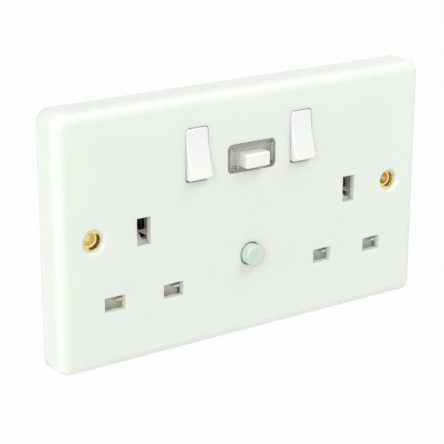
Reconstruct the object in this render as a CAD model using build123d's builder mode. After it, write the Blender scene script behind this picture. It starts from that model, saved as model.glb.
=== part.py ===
from build123d import *

import math
import os

# Twin switched mains socket with a residual current device, as it comes apart on a bench.
#
# Millimetres. X runs to the right, Y into the wall, Z up. The origin lies midway between the two fixing
# holes, in the plane of the front plate's back rim, so the wall is the plane Y = 0 and the front looks
# along -Y.

os.makedirs("parts", exist_ok=True)

# Front plate
plate_width = 146.0
plate_height = 86.0
plate_depth = 11.4
plate_drop = 1.05
plate_corner_radius = 4.0
front_edge_radius = 3.6
front_wall = 2.6
side_wall = 2.6

# Fixing holes and their brass eyelets
fixing_spacing = 120.6
fixing_bore_radius = 2.05
eyelet_wall = 0.55
eyelet_rim_radius = 3.4
eyelet_recess_depth = 1.35
eyelet_recess_radius = 4.25
eyelet_cone_depth = 1.7
eyelet_flange_radius = 3.7
eyelet_flange_thickness = 0.7
eyelet_boss_radius = 4.9

# Pins of the plug, and the holes that they enter by
socket_offset = 41.87
pin_offset = 11.115
pin_drop = 22.23
live_hole_width = 7.7
live_hole_height = 5.0
earth_hole_width = 5.3
earth_hole_height = 9.3
live_pin_length = 17.7
live_pin_thickness = 4.0
earth_pin_length = 22.7
earth_pin_thickness = 4.0
earth_pin_height = 8.0

# Shutters, between the front plate and the contact deck
shutter_space = 4.2
shutter_travel = 5.2
shutter_gap = 0.2
shutter_plate = 2.0
shutter_bar_height = 7.0
shutter_bar_half_width = 15.4
shutter_stem_half_width = 4.9
ramp_depth = 6.0
ramp_top = 1.0
ramp_shelf = 1.2
ramp_half_width = 1.1
lip_top = -1.5
lip_height = 0.5
lip_fall = 0.35
pocket_left = 1.4
pocket_right = 4.4
pocket_drop = 0.35
pocket_slope = 0.58
pocket_left_height = 2.05
pocket_right_height = 0.75
wedge_start = 1.2
wedge_end = 4.2
wedge_height = 1.25
window_half_width = 1.9
shutter_spring_length = 9.4
shutter_spring_radius = 1.15
shutter_spring_wire = 0.15
shutter_spring_turns = 8
peg_height = 1.1

# Contact deck and rear housing
deck_thickness = 1.8
deck_overhang = 2.0
housing_end_room = 16.63
housing_half_height = 31.0
notch_depth = 8.0
notch_half_height = 9.5
housing_wall = 1.7
housing_corner_radius = 2.5
housing_edge_radius = 0.9
core_half_width = 27.0
core_step = 5.0
post_radius = 4.2

# Housing screws
screw_radius = 1.45
screw_head_radius = 2.8
screw_head_height = 2.2
screw_seat_y = 6.0
boss_radius = 3.0
inner_post_place = (33.5, 8.0)
outer_post_place = (51.5, 22.0)

# Brass strip, the socket contacts and their bars
strip = 0.8
live_contact_width = 6.0
live_mouth_half_width = 3.7
live_mouth_y = -0.6
earth_contact_overlap = 0.3
earth_mouth_half_width = 5.0
earth_mouth_y = -2.2
leaf_grip = 5.5
contact_squeeze = 0.2
earth_bar_width = 4.6
earth_pad_offset = 35.0
earth_bar_drop = 26.6
neutral_bar_drop = 14.5
neutral_bar_width = 4.0
earth_strap_width = 4.4
earth_leg_gap = 0.4
switched_strap_y = 6.2
switched_strap_width = 3.0
switched_run_offset = 27.3
switched_run_drop = 14.1
load_bar_y = 9.0
load_bar_width = 3.0
load_bar_rise = 3.7

# Rockers, shown in their off position
rocker_offset = 20.95
rocker_shift = -0.45
rocker_centre_z = 22.2
rocker_opening_width = 8.9
rocker_opening_height = 18.2
rocker_gap = 0.2
rocker_end_gap = 0.3
rocker_tilt = 12.2
rocker_pivot_depth = 1.7
rocker_dish = 0.85
rocker_opening_corner = 1.3
rocker_corner_radius = 1.1
rocker_edge_radius = 0.6
trunnion_radius = 0.75
trunnion_length = 0.9
running_clearance = 0.08
stem_half_width = 2.5
stem_reach = 7.5
plunger_radius = 1.55
plunger_reach = 11.4
plunger_length = 6.2
rocker_spring_radius = 1.25
rocker_spring_wire = 0.175
rocker_spring_turns = 6
stem_bore_end = 0.2

# See-saw contact bridges under the rockers
bridge_tilt = 9.8
bridge_half_length = 6.0
bridge_half_width = 1.5
bridge_front_y = 1.9
bridge_rivet_offset = 4.9
switch_rivet_radius = 1.0
rivet_radius = 1.2
rivet_height = 1.0

# Clear window, reset button and red flag
window_width = 19.4
window_height = 9.95
window_centre_x = 0.25
window_centre_z = 18.3
window_rim = 1.0
window_step = 1.1
window_corner_radius = 1.8
window_wall = 0.9
window_recess = 0.25
window_fit = 0.1
window_depth = 3.8
reset_centre_x = 0.3
reset_centre_z = 17.7
reset_cap_width = 9.6
reset_cap_height = 4.9
reset_cap_proud = 3.8
reset_cap_radius = 0.7
reset_collar = 1.1
reset_gap = 0.3
reset_travel = 3.0
reset_flange = 0.9
reset_flange_width = 13.0
reset_flange_height = 7.6
reset_well_gap = 0.5
reset_stem = 4.0
reset_stem_end_y = 2.4
reset_well_floor_y = 0.5
reset_spring_radius = 3.3
reset_spring_wire = 0.25
reset_spring_turns = 5
flag_left_x = 7.6
flag_width = 2.2
flag_height = 4.4
flag_lift = 4.0
flag_thickness = 0.6

# Test button
test_centre_z = -15.6
test_dish_radius = 2.7
test_dish_depth = 0.3
test_cap_radius = 3.65
test_cap_proud = 3.4
test_gap = 0.45
test_travel = 1.5
test_flange_radius = 5.6
test_stem_radius = 1.5
test_well_radius = 4.2
test_stem_end_y = 1.6
test_flange_gap = 0.3
test_flange = 0.9
test_spring_radius = 2.6
test_spring_wire = 0.2
test_spring_turns = 5

# Residual current device
carriage_half_width = 12.6
carriage_height = 5.0
carriage_depth = 3.0
main_contact_offset = 9.5
main_contact_z = 10.0
main_strip_width = 3.0
contact_gap = 3.2
supply_strap_z = 17.5
toroid_outer_radius = 7.5
toroid_inner_radius = 3.75
toroid_height = 6.0
toroid_centre_z = -2.0
conductor_y = 6.0
conductor_radius = 0.9
conductor_offset = 1.6
conductor_bend = 1.9
line_return_x = 14.2
coil_place = (-17.0, 4.0)
coil_radius = 5.2
bobbin_radius = 6.0
coil_low_z = -10.0
coil_high_z = 4.0
plunger_travel = 1.2
trip_plunger_radius = 1.8
trip_plunger_shoulder = 8.0
trip_plunger_top = 9.8
trip_plunger_tip_radius = 0.7
lever_pivot = (-11.5, 11.5)
lever_half_height = 1.3
lever_front_y = 2.2
lever_thickness = 2.0
lever_pin_radius = 0.9
board_front_y = 15.0
board_thickness = 1.6
board_half_width = 22.0
board_low_z = -17.0
board_high_z = 23.5

# Terminals
terminal_offset = 38.0
terminal_z = 20.0
terminal_front_y = 2.0
terminal_width = 8.0
terminal_height = 9.0
terminal_depth = 9.0
cable_bore_radius = 2.4
cable_bore_depth = 4.2
cable_entry_radius = 3.0
terminal_screw_radius = 1.75
terminal_head_radius = 2.9
terminal_head_height = 2.0
access_hole_radius = 3.4

# Depths worked out from the sizes above
face_y = -plate_depth
wall_back_y = face_y + front_wall
deck_front_y = wall_back_y + shutter_space
deck_back_y = deck_front_y + deck_thickness
live_base_y = face_y + live_pin_length + 1.7
neutral_bar_y = live_base_y + strip
earth_base_y = face_y + earth_pin_length + 0.7
earth_bar_y = earth_base_y + strip
ear_floor_y = earth_bar_y + strip + 0.2
ear_back_y = ear_floor_y + housing_wall
core_floor_y = ear_floor_y + core_step
core_back_y = core_floor_y + housing_wall
fixing_x = fixing_spacing / 2
housing_half_width = socket_offset + housing_end_room
strap_back_y = -eyelet_flange_thickness - 0.05
strap_front_y = strap_back_y - strip
earth_leg_x = socket_offset + earth_mouth_half_width + earth_leg_gap
earth_contact_half = earth_pin_height / 2 + earth_contact_overlap
shutter_front_y = wall_back_y + shutter_gap
shutter_back_y = deck_front_y - 0.3
rocker_pivot_y = face_y + rocker_pivot_depth
reset_front_y = face_y - reset_cap_proud
window_front_y = face_y + window_recess
window_back_y = window_front_y + window_depth
reset_flange_front_y = window_back_y + 0.2
reset_flange_back_y = reset_flange_front_y + reset_flange
test_flange_back_y = wall_back_y + test_flange_gap + test_flange
carriage_front_y = reset_stem_end_y + 0.2
carriage_back_y = carriage_front_y + carriage_depth
moving_rivet_y = carriage_back_y + strip + rivet_height
fixed_rivet_y = moving_rivet_y + contact_gap
supply_strap_y = fixed_rivet_y + strip

case_screw_places = [
    (side * place[0], place[1]) for side in (-1, 1) for place in (inner_post_place, outer_post_place)
]
line_pin_x = {-1: -socket_offset + pin_offset, 1: socket_offset + pin_offset}
neutral_pin_x = {-1: -socket_offset - pin_offset, 1: socket_offset - pin_offset}
rocker_x = {-1: rocker_shift - rocker_offset, 1: rocker_shift + rocker_offset}
side_names = {-1: "left", 1: "right"}
live_pin_places = [(x, -pin_drop) for x in (*line_pin_x.values(), *neutral_pin_x.values())]


def at_depth(y):
    """Plane parallel to the front face at depth y, with X to the right, Z up and its normal to the front."""
    return Plane.XZ.offset(-y)


def across(x):
    """Plane square to X at x, whose own axes are Y and Z."""
    return Plane.YZ.offset(x)


def tilted(x, y, z, degrees):
    """Plane square to X through a pivot, whose own axes are Y and Z turned about X by the angle."""
    turn = math.radians(degrees)
    return Plane(origin=(x, y, z), x_dir=(0, math.cos(turn), math.sin(turn)), z_dir=(1, 0, 0))


def save(part, name):
    """Labels a finished piece and writes it."""
    part.label = name
    export_step(part, f"parts/{name}.step")


def band(low_x, high_x, low_z, high_z, mode=Mode.ADD):
    """Draws a rectangle between two corners in the open sketch."""
    with Locations(((low_x + high_x) / 2, (low_z + high_z) / 2)):
        Rectangle(high_x - low_x, high_z - low_z, mode=mode)


def housing_outline(inset, overhang=0):
    """Draws the outline of the deck and housing, drawn in by the inset, in the open sketch."""
    Rectangle(2 * (housing_half_width - inset), 2 * (housing_half_height - inset + overhang))
    with Locations((housing_half_width, 0), (-housing_half_width, 0)):
        Rectangle(2 * (notch_depth + inset), 2 * (notch_half_height + inset), mode=Mode.SUBTRACT)


def eyelet_steps(gap):
    """Outer steps of an eyelet, from its rim to its shank, as radius and depth, grown by the gap."""
    rim_y = face_y + eyelet_recess_depth
    shank = fixing_bore_radius + eyelet_wall + gap
    return [
        (eyelet_rim_radius + gap, rim_y),
        (eyelet_rim_radius + gap, rim_y + 0.4 + gap),
        (shank, rim_y + eyelet_cone_depth + gap),
    ]


def make_faceplate():
    """Front plate: a hollow moulding with rounded front edges, its holes, bosses and rocker bearings."""
    boss_back_y = strap_front_y - 0.05
    with BuildPart() as faceplate:
        with BuildSketch(at_depth(0)):
            with Locations((0, -plate_drop)):
                RectangleRounded(plate_width, plate_height, plate_corner_radius)
        extrude(amount=plate_depth)
        fillet(faceplate.faces().sort_by(Axis.Y)[0].edges(), radius=front_edge_radius)
        with BuildSketch(at_depth(0)):
            with Locations((0, -plate_drop)):
                RectangleRounded(
                    plate_width - 2 * side_wall,
                    plate_height - 2 * side_wall,
                    plate_corner_radius - side_wall / 2,
                )
        extrude(amount=-wall_back_y, mode=Mode.SUBTRACT)
        with BuildSketch(at_depth(deck_front_y)):
            with Locations(*case_screw_places):
                Circle(boss_radius)
        extrude(amount=deck_front_y - wall_back_y)
        with BuildSketch(at_depth(boss_back_y)):
            with Locations((-fixing_x, 0), (fixing_x, 0)):
                Circle(eyelet_boss_radius)
        extrude(amount=boss_back_y - wall_back_y)
        # Stiffening ribs that tie each eyelet boss to the plate's sides
        with BuildSketch(at_depth(boss_back_y)):
            for side in (-1, 1):
                outer_x = plate_width / 2 - side_wall
                band(*sorted((side * (fixing_x + 3), side * outer_x)), -0.8, 0.8)
                rib_x = side * fixing_x
                band(rib_x - 0.8, rib_x + 0.8, -plate_height / 2 - plate_drop + side_wall, -3)
                band(rib_x - 0.8, rib_x + 0.8, 3, plate_height / 2 - plate_drop - side_wall)
        extrude(amount=boss_back_y - wall_back_y)
        # Eyelet holes
        for side in (-1, 1):
            steps = eyelet_steps(0.05)
            with BuildSketch(Plane.XY) as bore:
                with BuildLine():
                    Polyline(
                        (side * fixing_x, face_y - 1),
                        (side * fixing_x + eyelet_recess_radius + 0.3, face_y - 1),
                        (side * fixing_x + eyelet_recess_radius, face_y),
                        (side * fixing_x + steps[0][0], face_y + eyelet_recess_depth - 0.2),
                        *[(side * fixing_x + r, y) for r, y in steps],
                        (side * fixing_x + steps[2][0], 1),
                        (side * fixing_x, 1),
                        close=True,
                    )
                make_face()
            revolve(axis=Axis((side * fixing_x, 0, 0), (0, 1, 0)), mode=Mode.SUBTRACT)
        # Pin holes
        with BuildSketch(at_depth(wall_back_y)):
            with Locations(*live_pin_places):
                Rectangle(live_hole_width, live_hole_height)
            with Locations((-socket_offset, 0), (socket_offset, 0)):
                Rectangle(earth_hole_width, earth_hole_height)
        extrude(amount=front_wall, mode=Mode.SUBTRACT)
        # Openings for the rockers, the window and the test button
        with BuildSketch(at_depth(wall_back_y)):
            with Locations((rocker_x[-1], rocker_centre_z), (rocker_x[1], rocker_centre_z)):
                RectangleRounded(rocker_opening_width, rocker_opening_height, rocker_opening_corner)
            with Locations((window_centre_x, window_centre_z)):
                RectangleRounded(window_width, window_height, window_corner_radius)
            with Locations((0, test_centre_z)):
                Circle(test_cap_radius + test_gap)
        extrude(amount=front_wall, mode=Mode.SUBTRACT)
        # Bearings for the rocker trunnions, open to the back
        slot = trunnion_radius + running_clearance
        with BuildSketch(at_depth(wall_back_y)):
            with Locations((rocker_x[-1], rocker_centre_z), (rocker_x[1], rocker_centre_z)):
                Rectangle(rocker_opening_width + 2 * trunnion_length, 2 * slot)
        extrude(amount=wall_back_y - rocker_pivot_y + slot, mode=Mode.SUBTRACT)
        # Pilot holes for the housing screws
        with BuildSketch(at_depth(deck_front_y)):
            with Locations(*case_screw_places):
                Circle(screw_radius + 0.05)
        extrude(amount=deck_front_y - wall_back_y, mode=Mode.SUBTRACT)
    save(faceplate.part, "faceplate")


def make_eyelet(side):
    """Brass eyelet of a fixing hole: countersunk cup, tube, and a flange that holds the earth strap."""
    steps = eyelet_steps(0)
    shank = steps[2][0]
    rim_y = steps[0][1]
    end_y = -eyelet_flange_thickness
    x = side * fixing_x
    with BuildPart() as eyelet:
        with BuildSketch(Plane.XY):
            with BuildLine():
                Polyline(
                    (x + eyelet_rim_radius - 0.4, rim_y),
                    *[(x + r, y) for r, y in steps],
                    (x + shank, end_y),
                    (x + eyelet_flange_radius, end_y),
                    (x + eyelet_flange_radius, 0),
                    (x + fixing_bore_radius, 0),
                    (x + fixing_bore_radius, rim_y + eyelet_cone_depth),
                    (x + fixing_bore_radius + 0.5, rim_y + eyelet_cone_depth - 0.25),
                    close=True,
                )
            make_face()
        revolve(axis=Axis((x, 0, 0), (0, 1, 0)))
    save(eyelet.part, f"{side_names[side]}_eyelet")


def make_earth_strap(side):
    """Strip from a fixing eyelet inwards to the earth contact, then back to the earth bar."""
    inner_x = side * earth_leg_x
    outer_x = side * (fixing_x + eyelet_flange_radius)
    low_x, high_x = sorted((inner_x, outer_x))
    leg = sorted((inner_x, inner_x + side * strip))
    half = earth_strap_width / 2
    with BuildPart() as strap:
        with BuildSketch(at_depth(strap_back_y)):
            band(low_x, high_x, -half, half)
            with Locations((side * fixing_x, 0)):
                Circle(eyelet_flange_radius + 0.2)
                Circle(fixing_bore_radius + eyelet_wall + 0.05, mode=Mode.SUBTRACT)
        extrude(amount=strip)
        with BuildSketch(at_depth(earth_bar_y)):
            band(*leg, -half, half)
        extrude(amount=earth_bar_y - strap_front_y)
    save(strap.part, f"{side_names[side]}_earth_strap")


def make_deck():
    """Contact deck: the moulding that the shutters slide on, with the button wells behind it."""
    post_slot = trunnion_radius + running_clearance
    stem_swing = stem_half_width + stem_reach * math.sin(math.radians(rocker_tilt)) + 0.5
    with BuildPart() as deck:
        with BuildSketch(at_depth(deck_back_y)) as outline:
            housing_outline(0, deck_overhang)
            fillet(outline.vertices(), housing_corner_radius / 2)
        extrude(amount=deck_thickness)
        # Well under the reset button, and the boss that holds the trip lever's pin
        reset_half_x = reset_flange_width / 2 + reset_well_gap
        reset_half_z = reset_flange_height / 2 + reset_well_gap
        well_back_y = reset_well_floor_y + 1.0
        with BuildSketch(at_depth(well_back_y)):
            with Locations((reset_centre_x, reset_centre_z)):
                Rectangle(2 * reset_half_x + 2.4, 2 * reset_half_z + 2.4)
        extrude(amount=well_back_y - deck_back_y)
        with BuildSketch(at_depth(lever_front_y - 0.2)):
            with Locations(lever_pivot):
                Circle(lever_pin_radius + 1.1)
        extrude(amount=lever_front_y - 0.2 - deck_back_y)
        # Well under the test button
        with BuildSketch(at_depth(1)):
            with Locations((0, test_centre_z)):
                Circle(test_well_radius + 1.2)
        extrude(amount=1 - deck_back_y)
        # Posts that keep the rocker trunnions in their bearings
        with BuildSketch(at_depth(deck_front_y)):
            for side in (-1, 1):
                for edge in (-1, 1):
                    post_x = rocker_x[side] + edge * (rocker_opening_width / 2 + trunnion_length / 2)
                    with Locations((post_x, rocker_centre_z)):
                        Rectangle(trunnion_length - 0.15, 2 * post_slot - 0.3)
        extrude(amount=deck_front_y - rocker_pivot_y - trunnion_radius - running_clearance)
        # Pegs that the shutter springs press against
        with BuildSketch(at_depth(deck_front_y)):
            for side in (-1, 1):
                band(
                    side * socket_offset - window_half_width + 0.4,
                    side * socket_offset + window_half_width - 0.4,
                    peg_low_z,
                    peg_low_z + peg_height,
                )
        extrude(amount=deck_front_y - shutter_front_y - 0.3)
        # Slots for the pins, the rocker stems, the buttons and the flag
        with BuildSketch(at_depth(deck_back_y)):
            with Locations(*live_pin_places):
                Rectangle(live_hole_width, live_hole_height + 0.2)
            for side in (-1, 1):
                band(
                    side * socket_offset - earth_mouth_half_width - 0.4,
                    side * socket_offset + earth_mouth_half_width + 0.4,
                    ramp_top - ramp_depth - shutter_travel - 0.4,
                    earth_hole_height / 2 + 0.5,
                )
                with Locations((rocker_x[side], rocker_centre_z)):
                    Rectangle(2 * stem_half_width + 0.8, 2 * stem_swing)
            flag_stem_x = flag_left_x + flag_width
            band(flag_stem_x - 1.0, flag_stem_x + 0.3, flag_low_z, flag_low_z + flag_lift + 2.6)
        extrude(amount=deck_thickness, mode=Mode.SUBTRACT)
        with BuildSketch(at_depth(reset_well_floor_y)):
            with Locations((reset_centre_x, reset_centre_z)):
                Rectangle(2 * reset_half_x, 2 * reset_half_z)
        extrude(amount=reset_well_floor_y - deck_front_y, mode=Mode.SUBTRACT)
        with BuildSketch(at_depth(well_back_y)):
            with Locations((reset_centre_x, reset_centre_z)):
                Rectangle(reset_stem + 0.6, reset_stem + 0.6)
        extrude(amount=well_back_y - reset_well_floor_y, mode=Mode.SUBTRACT)
        with BuildSketch(at_depth(0)):
            with Locations((0, test_centre_z)):
                Circle(test_well_radius)
        extrude(amount=-deck_front_y, mode=Mode.SUBTRACT)
        with BuildSketch(at_depth(1)):
            with Locations((0, test_centre_z)):
                Circle(test_stem_radius + 0.3)
        extrude(amount=1, mode=Mode.SUBTRACT)
        with BuildSketch(at_depth(lever_front_y)):
            with Locations(lever_pivot):
                Circle(lever_pin_radius + running_clearance)
        extrude(amount=lever_front_y - deck_front_y, mode=Mode.SUBTRACT)
        with BuildSketch(at_depth(deck_back_y)):
            with Locations(*case_screw_places):
                Circle(screw_radius + 0.25)
        extrude(amount=deck_thickness, mode=Mode.SUBTRACT)
    save(deck.part, "contact_deck")


def make_housing():
    """Rear housing: a tray with a deeper core, screw posts, contact pedestals and terminal openings."""
    terminal_bore_y = terminal_front_y + cable_bore_depth
    with BuildPart() as housing:
        with BuildSketch(at_depth(ear_back_y)) as outline:
            housing_outline(0)
            fillet(outline.vertices(), housing_corner_radius)
        extrude(amount=ear_back_y - deck_back_y)
        with BuildSketch(at_depth(core_back_y)):
            RectangleRounded(2 * core_half_width, 2 * housing_half_height, housing_corner_radius)
        extrude(amount=core_back_y - ear_floor_y)
        fillet(housing.faces().sort_by(Axis.Y)[-1].edges(), radius=housing_edge_radius)
        with BuildSketch(at_depth(ear_floor_y)):
            housing_outline(housing_wall)
        extrude(amount=ear_floor_y - deck_back_y, mode=Mode.SUBTRACT)
        with BuildSketch(at_depth(core_floor_y)):
            Rectangle(2 * (core_half_width - housing_wall), 2 * (housing_half_height - housing_wall))
        extrude(amount=core_floor_y - ear_floor_y, mode=Mode.SUBTRACT)
        # Posts for the housing screws
        with BuildSketch(at_depth(ear_floor_y)):
            with Locations(*case_screw_places):
                Circle(post_radius)
        extrude(amount=ear_floor_y - deck_back_y)
        # Pedestals under the socket contacts
        with BuildSketch(at_depth(ear_floor_y)):
            for x in line_pin_x.values():
                band(x - 2.5, x + 2.5, -pin_drop - 1.6, -pin_drop + 2.5)
        extrude(amount=ear_floor_y - live_base_y - strip)
        with BuildSketch(at_depth(ear_floor_y)):
            for x in neutral_pin_x.values():
                band(x - 2.5, x + 2.5, -pin_drop - 1.6, -pin_drop + 2.5)
        extrude(amount=ear_floor_y - neutral_bar_y - strip)
        # Pads under the earth bar, and cradles beside the line and neutral terminals
        with BuildSketch(at_depth(ear_floor_y)):
            for side in (-1, 1):
                with Locations((side * socket_offset, 0), (side * earth_pad_offset, -earth_bar_drop)):
                    Rectangle(4, 3)
        extrude(amount=ear_floor_y - earth_bar_y - strip)
        with BuildSketch(at_depth(ear_floor_y)):
            for side in (-1, 1):
                cradle_x = side * (terminal_offset + terminal_width / 2 + 0.8)
                with Locations((cradle_x, terminal_z)):
                    Rectangle(1.2, terminal_height + 3.2)
                with Locations((side * terminal_offset, terminal_z - terminal_height / 2 - 0.8)):
                    Rectangle(terminal_width, 1.2)
        extrude(amount=ear_floor_y - terminal_front_y - 3)
        # Pegs behind the circuit board and posts under the load line bar
        peg_x = board_half_width - 2.5
        with BuildSketch(at_depth(core_floor_y)):
            with Locations(
                (-peg_x, board_low_z + 2.5),
                (peg_x, board_low_z + 2.5),
                (-peg_x, board_high_z - 2.5),
                (peg_x, board_high_z - 2.5),
            ):
                Circle(2)
        extrude(amount=core_floor_y - board_front_y - board_thickness)
        with BuildSketch(at_depth(core_floor_y)):
            for side in (-1, 1):
                with Locations((side * (rocker_offset - 4), load_bar_height)):
                    Rectangle(3, load_bar_width - 0.4)
        extrude(amount=core_floor_y - load_bar_y - strip)
        # Rest under the trip solenoid's frame
        with BuildSketch(at_depth(core_floor_y)):
            band(coil_place[0] - 1, coil_place[0] + 1, board_low_z - 2.6, board_low_z - 1)
        extrude(amount=core_floor_y - board_front_y)
        # Holes for the housing screws, counterbored from the back
        with BuildSketch(at_depth(ear_back_y)):
            with Locations(*case_screw_places):
                Circle(screw_radius + 0.2)
        extrude(amount=ear_back_y - deck_back_y, mode=Mode.SUBTRACT)
        with BuildSketch(at_depth(ear_back_y)):
            with Locations(*case_screw_places):
                Circle(screw_head_radius + 0.3)
        extrude(amount=ear_back_y - screw_seat_y, mode=Mode.SUBTRACT)
        # Access holes to the terminal screws
        with BuildSketch(at_depth(ear_back_y)):
            with Locations((-terminal_offset, terminal_z), (terminal_offset, terminal_z)):
                Circle(access_hole_radius)
        extrude(amount=ear_back_y - ear_floor_y, mode=Mode.SUBTRACT)
        with BuildSketch(at_depth(core_back_y)):
            with Locations((0, -earth_terminal_drop)):
                Circle(access_hole_radius)
        extrude(amount=core_back_y - core_floor_y, mode=Mode.SUBTRACT)
        # Cable entries
        with BuildSketch(Plane.XY.offset(housing_half_height)):
            with Locations((-terminal_offset, terminal_bore_y), (terminal_offset, terminal_bore_y)):
                Circle(cable_entry_radius)
        extrude(amount=-housing_wall, mode=Mode.SUBTRACT)
        with BuildSketch(Plane.XY.offset(-housing_half_height)):
            with Locations((0, earth_cable_y)):
                Circle(cable_entry_radius)
        extrude(amount=housing_wall, mode=Mode.SUBTRACT)
        # Slots in the front edge of the notch walls, which the earth straps pass through
        with BuildSketch(at_depth(strap_back_y + 0.1)):
            for side in (-1, 1):
                notch_x = side * (housing_half_width - notch_depth)
                half = earth_strap_width / 2 + 0.2
                band(*sorted((notch_x + side, notch_x - side * (housing_wall + 1))), -half, half)
        extrude(amount=strap_back_y + 0.1 - deck_back_y, mode=Mode.SUBTRACT)
    save(housing.part, "rear_housing")


def make_housing_screws():
    """Self-tapping screws that hold the housing and deck to the front plate."""
    with BuildPart() as screws:
        with BuildSketch(at_depth(screw_seat_y)):
            with Locations(*case_screw_places):
                Circle(screw_radius)
        extrude(amount=screw_seat_y - wall_back_y - 0.5)
        with BuildSketch(at_depth(screw_seat_y + screw_head_height)):
            with Locations(*case_screw_places):
                Circle(screw_head_radius)
        extrude(amount=screw_head_height)
        fillet(screws.faces().group_by(Axis.Y)[-1].edges(), radius=0.8)
        with BuildSketch(at_depth(screw_seat_y + screw_head_height)):
            with Locations(*case_screw_places):
                Rectangle(2.8, 0.7)
                Rectangle(0.7, 2.8)
        extrude(amount=1.1, mode=Mode.SUBTRACT)
    save(screws.part, "housing_screws")


def clip_outline(base_front, half_gap, mouth_front, mouth_half_width):
    """Draws a folded spring contact, as gap against depth, in the open sketch of two leaves and a base."""
    back = base_front + strip
    throat = base_front - leaf_grip
    wing = [
        (half_gap + strip + 0.1, back),
        (half_gap + strip - 0.1, throat),
        (mouth_half_width, mouth_front),
        (mouth_half_width - strip, mouth_front - 0.3),
        (half_gap - 0.1, throat - 0.2),
        (half_gap + 0.1, base_front),
    ]
    return wing + [(-gap, depth) for gap, depth in reversed(wing)]


def make_live_contact(x, name):
    """Line or neutral contact: leaves above and below the pin, folded from one strip."""
    half_gap = live_pin_thickness / 2 - contact_squeeze / 2
    outline = clip_outline(live_base_y, half_gap, live_mouth_y, live_mouth_half_width)
    with BuildPart() as contact:
        with BuildSketch(across(x - live_contact_width / 2)):
            with BuildLine():
                Polyline(*[(y, z - pin_drop) for z, y in outline], close=True)
            make_face()
        extrude(amount=live_contact_width)
    save(contact.part, name)


def make_earth_contact(side):
    """Earth contact: leaves at both sides of the pin, folded from one strip."""
    half_gap = earth_pin_thickness / 2 - contact_squeeze / 2
    outline = clip_outline(earth_base_y, half_gap, earth_mouth_y, earth_mouth_half_width)
    x = side * socket_offset
    with BuildPart() as contact:
        with BuildSketch(Plane.XY.offset(-earth_contact_half)):
            with BuildLine():
                Polyline(*[(x + gap, y) for gap, y in outline], close=True)
            make_face()
        extrude(amount=2 * earth_contact_half)
    save(contact.part, f"{side_names[side]}_earth_contact")


def make_earth_bar():
    """U-shaped bar that joins both earth contacts and the earth terminal."""
    half = earth_bar_width / 2
    with BuildPart() as bar:
        with BuildSketch(at_depth(earth_bar_y + strip)):
            band(-socket_offset - half, socket_offset + half, -earth_bar_drop - half, -earth_bar_drop + half)
            for side in (-1, 1):
                x = side * socket_offset
                band(x - half, x + half, -earth_bar_drop, earth_contact_half)
                strap_edge = side * (earth_leg_x + strip)
                band(*sorted((x, strap_edge)), -earth_strap_width / 2, earth_strap_width / 2)
            with Locations((0, -earth_terminal_drop)):
                Circle(terminal_screw_radius + 0.15, mode=Mode.SUBTRACT)
        extrude(amount=strip)
    save(bar.part, "earth_bar")


def make_neutral_bar():
    """Bar that joins both neutral contacts, behind their bases."""
    half = live_contact_width / 2
    low_z = -pin_drop - half + 0.2
    with BuildPart() as bar:
        with BuildSketch(at_depth(neutral_bar_y + strip)):
            band(
                neutral_pin_x[-1] - half,
                neutral_pin_x[1] + half,
                -neutral_bar_drop - neutral_bar_width / 2,
                -neutral_bar_drop + neutral_bar_width / 2,
            )
            for x in neutral_pin_x.values():
                band(x - half, x + half, low_z, -neutral_bar_drop)
        extrude(amount=strip)
    save(bar.part, "neutral_bar")


def make_switched_strap(side):
    """Strip from a rocker's fixed contact to the line contact of its socket."""
    run_x = side * switched_run_offset
    half = switched_strap_width / 2
    contact_x = line_pin_x[side]
    foot_z = -pin_drop + live_pin_thickness / 2 + strip
    top_z = fixed_switch_rivet_z
    foot_half = live_contact_width / 2 if side > 0 else abs(run_x - contact_x) + half
    with BuildPart() as strap:
        with BuildSketch(at_depth(switched_strap_y + strip)):
            band(run_x - half, run_x + half, -switched_run_drop - half, top_z + 1.3)
            band(*sorted((rocker_x[side] - side * 1.5, run_x + side * half)), top_z - 1.4, top_z + 1.3)
            low_x, high_x = sorted((run_x - side * half, contact_x + side * half))
            band(low_x, high_x, -switched_run_drop - half, -switched_run_drop + half)
            if side > 0:
                band(contact_x - half, contact_x + half, foot_z, -switched_run_drop)
            else:
                band(contact_x - half, contact_x - half + foot_half, foot_z, -switched_run_drop)
        extrude(amount=strip)
        with BuildSketch(at_depth(switched_strap_y)):
            with Locations((rocker_x[side], top_z)):
                Circle(switch_rivet_radius)
        extrude(amount=switched_strap_y - fixed_switch_rivet_y)
    save(strap.part, f"{side_names[side]}_switched_strap")


def make_load_line_bar():
    """Bar that feeds both rocker switches, with the knife edges that carry the contact bridges."""
    half = load_bar_width / 2
    with BuildPart() as bar:
        with BuildSketch(at_depth(load_bar_y + strip)):
            band(rocker_x[-1] - 1.6, rocker_x[1] + 1.6, load_bar_height - half, load_bar_height + half)
            for side in (-1, 1):
                x = rocker_x[side]
                band(x - 1.6, x + 1.6, rocker_centre_z - strip / 2, load_bar_height)
        extrude(amount=strip)
        with BuildSketch(at_depth(load_bar_y)):
            for side in (-1, 1):
                x = rocker_x[side]
                band(x - 1.6, x + 1.6, rocker_centre_z - strip / 2, rocker_centre_z + strip / 2)
        extrude(amount=load_bar_y - bridge_pivot_y - 0.1)
    save(bar.part, "load_line_bar")


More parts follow.
